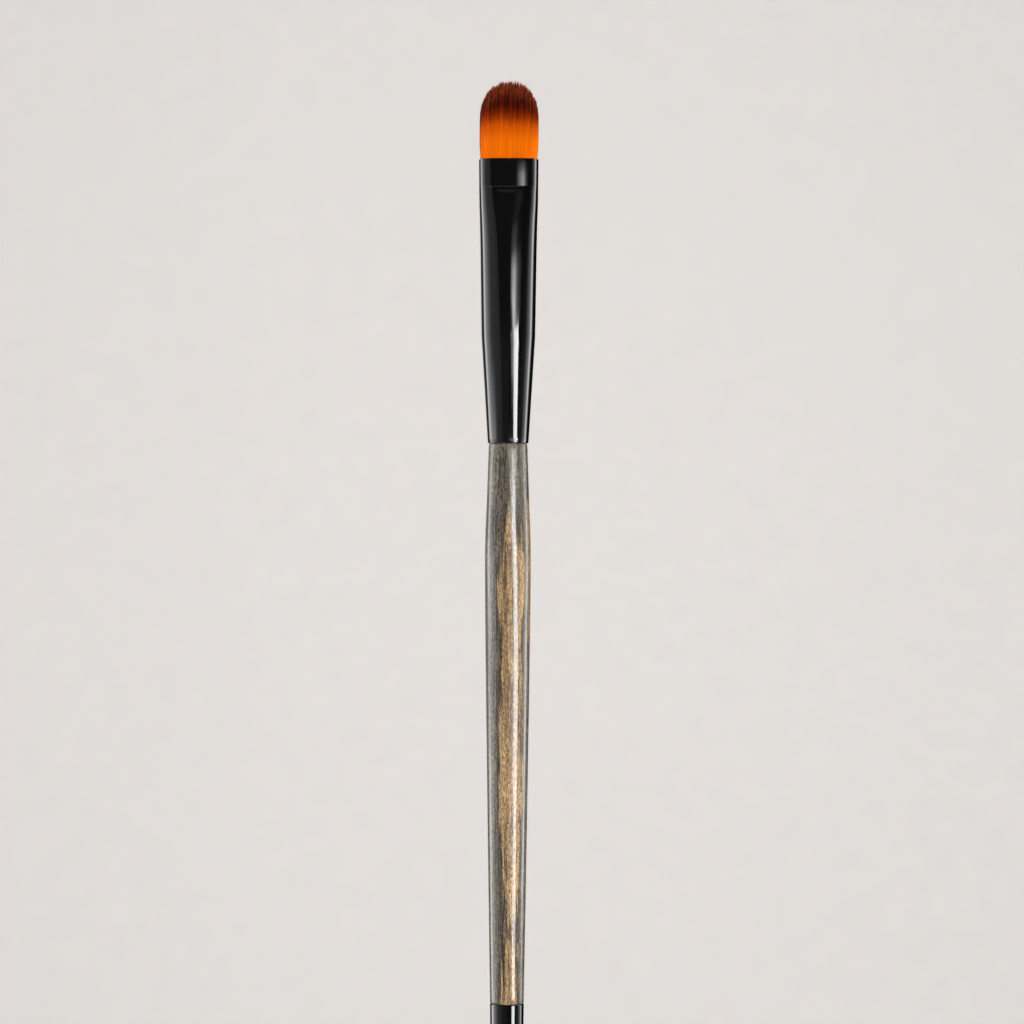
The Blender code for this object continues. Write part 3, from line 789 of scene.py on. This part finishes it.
def copy_prisms(count):
    """As many upright prisms of height 1 as there are bristles, each cut into rings."""
    bm = bmesh.new()
    bmesh.ops.create_cone(bm, cap_ends=True, cap_tris=False, segments=STRAND_SIDES, radius1=1,
                          radius2=1, depth=1)
    uprights = [edge for edge in bm.edges if abs(edge.verts[0].co.z - edge.verts[1].co.z) > 0.5]
    bmesh.ops.subdivide_edges(bm, edges=uprights, cuts=len(STRAND_RINGS) - 2)
    unit = len(bm.verts)
    while len(bm.verts) < unit * count:
        bmesh.ops.duplicate(bm, geom=bm.verts[:] + bm.edges[:] + bm.faces[:])
    bm.verts.ensure_lookup_table()
    bmesh.ops.delete(bm, geom=bm.verts[unit * count:], context="VERTS")
    bm.verts.ensure_lookup_table()
    return bm, unit


def strand_place(x, z, height, lean, sizes):
    """Centre of a bristle from its home at a height over the mouth."""
    over = max(0, height / HEAD_HEIGHT)
    free = clamp((height + PINCH_DEPTH) / PINCH_LENGTH)
    belly = HEAD_BELLY * math.sin(math.pi * min(over * HEAD_BELLY_SPEED, 1))
    wide = PINCHED_WIDTH + (1 - PINCHED_WIDTH) * free + belly
    thinning = (sizes.tip_thickness - sizes.tuft_thickness) * over ** WEDGE_POWER
    thin = (PINCHED_THICKNESS + (1 - PINCHED_THICKNESS) * free) * (
        sizes.tuft_thickness + thinning) / sizes.tuft_thickness
    shift = HEAD_SHIFT * (HEAD_SHIFT_AT_FOOT + HEAD_SHIFT_GAIN * over ** 2) + lean * over ** 2
    return Vector((x * wide + shift, MOUTH_Y + height, z * thin))


def make_strands(homes, sizes, seed):
    """One tapered bristle for each home, from a prism that is copied and bent into place."""
    bm, unit = copy_prisms(len(homes))
    dye = bm.verts.layers.float.new("dye_height")
    tone_layer = bm.verts.layers.float.new("strand_tone")
    tip_layer = bm.verts.layers.float.new("painted_tip_glow")
    rng = random.Random(seed)
    for number, (x, z) in enumerate(homes):
        across = min(abs(x) / (sizes.tuft_width / 2), 1)
        through = min(abs(z) / (sizes.tuft_thickness / 2), 1)
        dome = 1 - math.sqrt(1 - across ** 2)
        edge = 1 - math.sqrt(1 - through ** 2)
        clump, streak = (noise.noise(Vector((x / wide, z / deep, piece)))
                         for wide, deep, piece in (CLUMP, STREAK))
        tip = HEAD_HEIGHT + TIP_RISE - sizes.dome_height * dome ** DOME_POWER - EDGE_DROP * edge
        tip += CLUMP_RISE * clump - TIP_SHORTFALL * rng.random() ** SHORTFALL_POWER
        lean = CLUMP_LEAN * clump + STRAND_LEAN * rng.uniform(-1, 1)
        tone = clamp(0.5 + TONE_STREAK * streak + rng.uniform(-TONE_SCATTER, TONE_SCATTER))
        dip = DIP_SCATTER * rng.uniform(-1, 1) + DIP_DOME * dome + DIP_STREAK * streak
        pale_length = PALE_LENGTH + PALE_LENGTH_GAIN * across
        paleness = LEAST_PALE + (1 - LEAST_PALE) * tone
        for vert in bm.verts[number * unit:(number + 1) * unit]:
            ring = round((vert.co.z + 0.5) * (len(STRAND_RINGS) - 1))
            share, radius_share = STRAND_RINGS[ring]
            height = share * (tip + FOOT_DEPTH) - FOOT_DEPTH
            radius = sizes.strand_radius * radius_share
            out = Vector((radius * vert.co.x, 0, radius * vert.co.y))
            vert.co = strand_place(x, z, height, lean, sizes) + out
            vert[dye] = (height + dip) / MM
            vert[tone_layer] = tone
            # Painted glow of light through the finest end of each bristle
            vert[tip_layer] = max(0, 1 - (tip - height) / pale_length) * paleness
    return bm


class BRUSH_OT_bristles(bpy.types.Operator):
    """Build the bristles and the tied roots that they stand on"""
    bl_idname = "brush.bristles"
    bl_label = "Bristles"

    def execute(self, context):
        sizes = context.scene.brush_sizes
        material = bristle_material()
        homes = strand_homes(sizes, random.Random(PLACE_SEED))
        half = len(homes) // 2
        for number, part in enumerate((homes[:half], homes[half:])):
            bm = make_strands(part, sizes, HALF_SEEDS[number])
            add_piece(f"bristles_{number + 1}", bm, material, "bristle_tuft")
        outline = [(MOUTH_Y - ROOT_STATIONS[0][0], 0)]
        outline += [(MOUTH_Y - down, thick) for down, _, thick in ROOT_STATIONS]
        outline += [(MOUTH_Y - ROOT_STATIONS[-1][0], 0)]
        bm = turn_outline(outline, ROOT_SIDES, closed=False)
        press_flat(bm, ROOT_STATIONS)
        add_piece("bristle_roots", bm, material, "bristle_tuft")
        return {"FINISHED"}


class BRUSH_OT_ferrule(bpy.types.Operator):
    """Build the ferrule, a drawn tube that is pressed flat at its mouth"""
    bl_idname = "brush.ferrule"
    bl_label = "Ferrule"

    def execute(self, context):
        wall = context.scene.brush_sizes.ferrule_wall
        run = MOUTH_Y - BASE_Y - wall
        downs = [wall / 2 + run * step / FERRULE_STEPS for step in range(FERRULE_STEPS + 1)]
        downs += [LEDGE_DOWN + LEDGE_LENGTH * step / LEDGE_STEPS
                  for step in range(LEDGE_STEPS + 1)]
        downs.sort()
        outer = [(MOUTH_Y - down, smooth_value(FERRULE_STATIONS, down, 2)) for down in downs]
        thin = MOUTH_WALL_SHARE * wall
        mouth = rounded_lip(MOUTH_Y, outer[0][1], outer[0][1] - thin, 1)
        base = rounded_lip(BASE_Y, outer[-1][1], outer[-1][1] - wall, -1)
        inner = [(y, radius - thin - (wall - thin) * min((MOUTH_Y - y) / MOUTH_TAPER, 1))
                 for y, radius in outer]
        outline = outer[::-1] + mouth[1:-1] + inner + base[1:-1][::-1]
        bm = turn_outline(outline, FERRULE_SIDES, closed=True)
        press_flat(bm, FERRULE_STATIONS)
        black = context.scene.brush_colours.lacquer
        material = lacquer_material("Black lacquer on aluminium", black)
        add_piece("ferrule_tube", bm, material, "ferrule")
        return {"FINISHED"}


class BRUSH_OT_handle(bpy.types.Operator):
    """Build the turned wooden handle with its two tenons"""
    bl_idname = "brush.handle"
    bl_label = "Handle"

    def execute(self, context):
        sizes = context.scene.brush_sizes
        neck, belly = sizes.neck_diameter / 2, sizes.belly_diameter / 2
        joint = sizes.joint_diameter / 2
        neck_y = BASE_Y - NECK_SEAM
        joint_y = JOINT_Y - WOOD_SEAM
        belly_y = BASE_Y - sizes.belly_distance
        edge, rounding = WOOD_EDGE, WOOD_EDGE / 3
        tip, chamfered, shoulder = FRONT_TENON
        outline = [(HANDLE_HIGH.y, 0), (HANDLE_HIGH.y, tip),
                   (HANDLE_HIGH.y - TENON_CHAMFER, chamfered), (neck_y, shoulder),
                   (neck_y, neck - edge), (neck_y - rounding, neck - rounding)]
        for start_y, end_y, start, end, table, steps in (
                (neck_y, belly_y, neck, belly, NECK_TO_BELLY, NECK_STEPS),
                (belly_y, joint_y + edge, belly, joint, BELLY_TO_JOINT, BELLY_STEPS)):
            for step in range(1, steps + 1):
                share = step / steps
                outline.append((start_y + (end_y - start_y) * share,
                                start + (end - start) * smooth_value(table, share)))
        tip, chamfered, shoulder = REAR_TENON
        outline += [(joint_y + rounding, joint - rounding), (joint_y, joint - edge),
                    (joint_y, shoulder), (HANDLE_LOW.y + TENON_CHAMFER, chamfered),
                    (HANDLE_LOW.y, tip), (HANDLE_LOW.y, 0)]
        bm = turn_outline(outline, TURNED_SIDES, closed=False)
        material = wood_material(context.scene.brush_colours)
        add_piece("handle_wood", bm, material, "handle")
        return {"FINISHED"}


class BRUSH_OT_end_cap(bpy.types.Operator):
    """Build the end cap, a drawn cup over the rear tenon"""
    bl_idname = "brush.end_cap"
    bl_label = "End cap"

    def execute(self, context):
        sizes = context.scene.brush_sizes
        mouth, end = sizes.cap_diameter / 2, sizes.cap_end_diameter / 2
        bore = mouth - CAP_WALL
        mouth_y = JOINT_Y - CAP_SEAM
        butt_y = CAP_LOW.y + BUTT_LENGTH
        floor_y = HANDLE_LOW.y - CAP_FLOOR_GAP
        run = mouth_y - CAP_OUTER_EDGE - butt_y
        taper = [(butt_y + run * step / CAP_STEPS, end + (mouth - end) * step / CAP_STEPS)
                 for step in range(CAP_STEPS + 1)]
        outline = [(floor_y, 0), (floor_y, CAP_FLOOR_RADIUS), (mouth_y - CAP_BORE_EDGE, bore)]
        outline += rounded_lip(mouth_y, mouth, bore, 1)[::-1]
        outline += taper[::-1]
        for step in range(1, BUTT_STEPS + 1):
            turn = math.pi / 2 * step / BUTT_STEPS
            outline.append((butt_y - BUTT_LENGTH * math.sin(turn),
                            BUTT_RADIUS + (end - BUTT_RADIUS) * math.cos(turn)))
        outline += [(CAP_LOW.y, 0)]
        bm = turn_outline(outline, TURNED_SIDES, closed=False)
        black = context.scene.brush_colours.lacquer
        material = lacquer_material("Black lacquer on the cap", black)
        add_piece("cap_shell", bm, material, "end_cap")
        return {"FINISHED"}


class BRUSH_OT_hidden_pieces(bpy.types.Operator):
    """Finish the thread, the epoxy and the adhesive that the ferrule hides"""
    bl_idname = "brush.hidden_pieces"
    bl_label = "Hidden pieces"

    def execute(self, context):
        finishes = {
            "binding_thread": thread_material(),
            "root_epoxy": cured_material("Amber epoxy, cured", "#A8762E", "#D9AE66", 0.25),
            "handle_adhesive": cured_material("Cream adhesive, cured", "#CFC29C", "#E8DFC4", 0.5),
        }
        for name, material in finishes.items():
            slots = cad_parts[name].data.materials
            slots.clear()
            slots.append(material)
        return {"FINISHED"}


def add_floor(colour):
    """A wide floor of pale paper."""
    bm = bmesh.new()
    bmesh.ops.create_grid(bm, x_segments=1, y_segments=1, size=FLOOR_SIZE)
    bmesh.ops.translate(bm, verts=bm.verts, vec=(0, 0, -FLOOR_DEPTH))
    floor = add_object("floor", bm, floor_material(colour))


def set_world(scene, colour):
    """A studio of the floor's colour all round, which is plain to see and gives little light."""
    world = bpy.data.worlds.new("Studio")
    world.use_nodes = True
    scene.world = world
    tree = world.node_tree
    level = add_node(tree, "MapRange", {
        "Value": looked_at(tree), "To Min": WORLD_LIGHT, "To Max": WORLD_GLOW})
    set_inputs(tree.nodes["Background"], {
        "Color": (*colour, 1), "Strength": level.outputs["Result"]})


def add_lamp(context, name, angle, distance, y, length, width, radiance):
    """A soft lamp that faces the brush's axis and that the gloss doesn't see."""
    light = bpy.data.lights.new(name, "AREA")
    light.shape = "RECTANGLE"
    light.size, light.size_y = width, length
    light.energy = radiance * width * length * math.pi
    lamp = bpy.data.objects.new(name, light)
    turn = math.radians(angle)
    lamp.location = (distance * math.sin(turn), y, AXIS_HEIGHT + distance * math.cos(turn))
    lamp.rotation_euler = (0, turn, 0)
    lamp.visible_camera = lamp.visible_glossy = False
    context.collection.objects.link(lamp)


def cloth_edge(angle):
    """Place across the brush of the key lamp's cloth, at an angle in degrees from straight up."""
    turn = math.radians(angle)
    return KEY_CLOTH_DISTANCE * math.sin(turn), KEY_CLOTH_DISTANCE * math.cos(turn)


def add_card(name, corners, reach, material):
    """A flat lamp cloth or card along the brush, from one place across it to another."""
    (x1, z1), (x2, z2) = corners
    bm = bmesh.new()
    verts = [bm.verts.new((x1, reach[0], z1)), bm.verts.new((x2, reach[0], z2))]
    drawn = bmesh.ops.extrude_edge_only(bm, edges=[bm.edges.new(verts)])["geom"]
    bmesh.ops.translate(bm, verts=[item for item in drawn if isinstance(item, bmesh.types.BMVert)],
                        vec=(0, reach[1] - reach[0], 0))
    bmesh.ops.translate(bm, verts=bm.verts, vec=(0, 0, AXIS_HEIGHT))
    card = add_object(name, bm, material)
    card.visible_camera = card.visible_shadow = False
    card.visible_diffuse = card.visible_transmission = False


def add_camera(context):
    """The camera, straight above the brush and framed as the photograph."""
    camera = bpy.data.cameras.new("camera")
    camera.sensor_width = SENSOR_WIDTH
    camera.lens = SENSOR_WIDTH * CAMERA_DISTANCE / VIEW_WIDTH
    camera.clip_start, camera.clip_end = 0.01, 20
    eye = bpy.data.objects.new("camera", camera)
    eye.location = (*CAMERA_PLACE, AXIS_HEIGHT + CAMERA_DISTANCE)
    eye.rotation_euler = (0, 0, CAMERA_ROLL)
    context.collection.objects.link(eye)
    context.scene.camera = eye


class BRUSH_OT_stage(bpy.types.Operator):
    """Build the floor, the studio lamps and the camera"""
    bl_idname = "brush.stage"
    bl_label = "Stage"

    def execute(self, context):
        scene = context.scene
        scene.view_settings.view_transform = "Standard"
        colour = scene.brush_colours.floor
        add_floor(colour)
        set_world(scene, colour)
        for lamp in LAMPS:
            add_lamp(context, *lamp)
        key_cloth = [cloth_edge(angle) for angle in KEY_CLOTH_ANGLES]
        for name, label, corners, parts in (
                ("key_cloth", "Key lamp's cloth", key_cloth, KEY_PARTS),
                ("left_lamp", "Left lamp's cloth", LEFT_CLOTH, LEFT_PARTS),
                ("right_lamp", "Right lamp's cloth", RIGHT_CLOTH, RIGHT_PARTS)):
            add_card(name, corners, CLOTH_REACH, lamp_material(label, parts))
        black = lamp_material("Black card", CARD_PARTS)
        for name, corners in CARDS.items():
            add_card(name, corners, CARD_REACH, black)
        add_camera(context)
        return {"FINISHED"}


class BRUSH_PT_panel(bpy.types.Panel):
    """Lists the steps that build the brush"""
    bl_idname = "BRUSH_PT_panel"
    bl_label = "Makeup brush"
    bl_space_type = "VIEW_3D"
    bl_region_type = "UI"
    bl_category = "Brush"

    def draw(self, context):
        for step in STEPS:
            self.layout.operator(step.bl_idname)
        for group in (context.scene.brush_sizes, context.scene.brush_colours):
            for name in group.__annotations__:
                self.layout.prop(group, name)


STEPS = (BRUSH_OT_stage, BRUSH_OT_bristles, BRUSH_OT_ferrule, BRUSH_OT_handle,
         BRUSH_OT_end_cap, BRUSH_OT_hidden_pieces)
CLASSES = (BrushSizes, BrushColours, *STEPS, BRUSH_PT_panel)


def register():
    for cls in CLASSES:
        bpy.utils.register_class(cls)
    bpy.types.Scene.brush_sizes = bpy.props.PointerProperty(type=BrushSizes)
    bpy.types.Scene.brush_colours = bpy.props.PointerProperty(type=BrushColours)


def unregister():
    del bpy.types.Scene.brush_colours
    del bpy.types.Scene.brush_sizes
    for cls in reversed(CLASSES):
        bpy.utils.unregister_class(cls)


def main():
    register()
    for step in STEPS:
        group, name = step.bl_idname.split(".")
        getattr(getattr(bpy.ops, group), name)()


if __name__ == "__main__":
    main()
